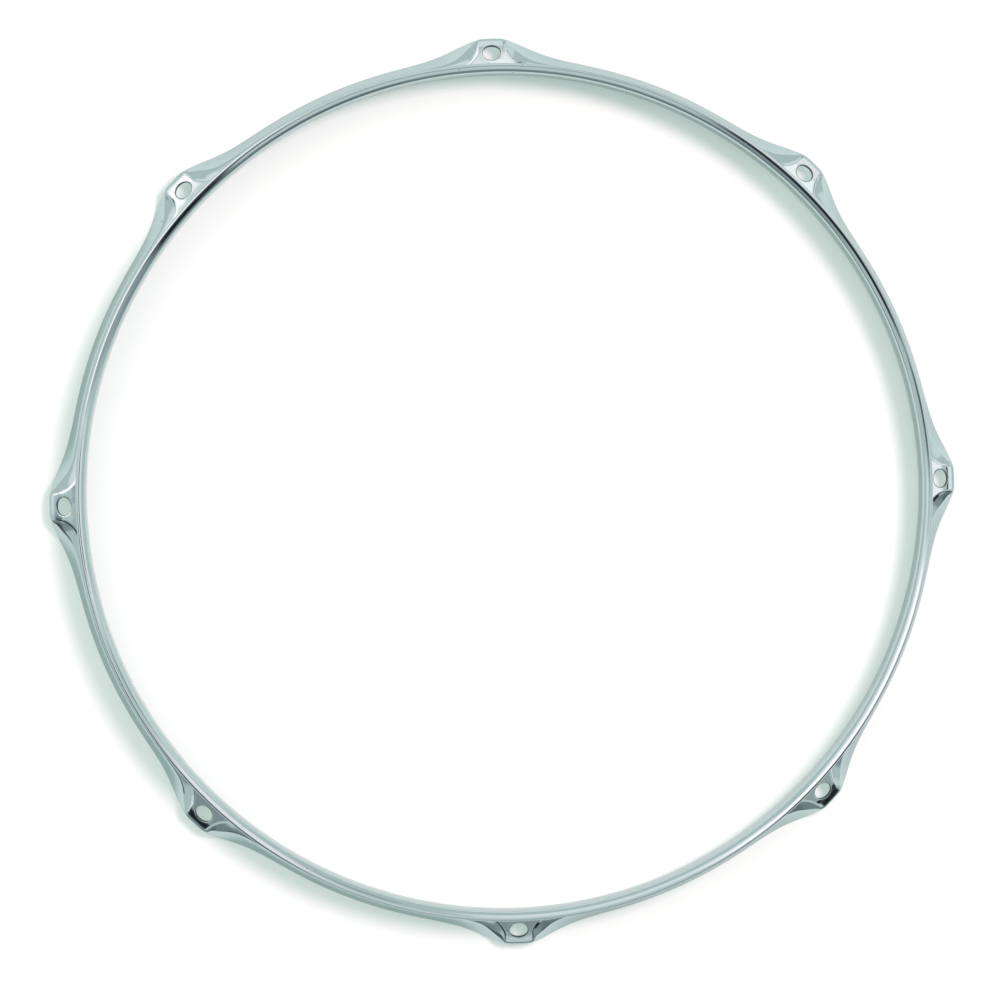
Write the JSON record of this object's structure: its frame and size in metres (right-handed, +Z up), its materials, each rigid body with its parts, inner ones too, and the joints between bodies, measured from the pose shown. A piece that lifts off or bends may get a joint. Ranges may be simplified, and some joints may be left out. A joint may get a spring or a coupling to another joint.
{
  "type": "drum hoop",
  "caption": "Round flanged steel drum hoop with a rolled lip, an upright wall, a skirt and ears punched for tension rods.",
  "frame": {"origin": "centre of the ring, on the plane that the skirt's rim stands on", "axes": "+Z up along the ring's axis towards the rolled lip, +X through the middle of an ear"},
  "size_m": [0.3934, 0.3934, 0.0254],
  "materials": {
    "chrome": "bright chrome plating with faint handling marks"
  },
  "bodies": {
    "root": {"hoop": "chrome"}
  },
  "joints": []
}
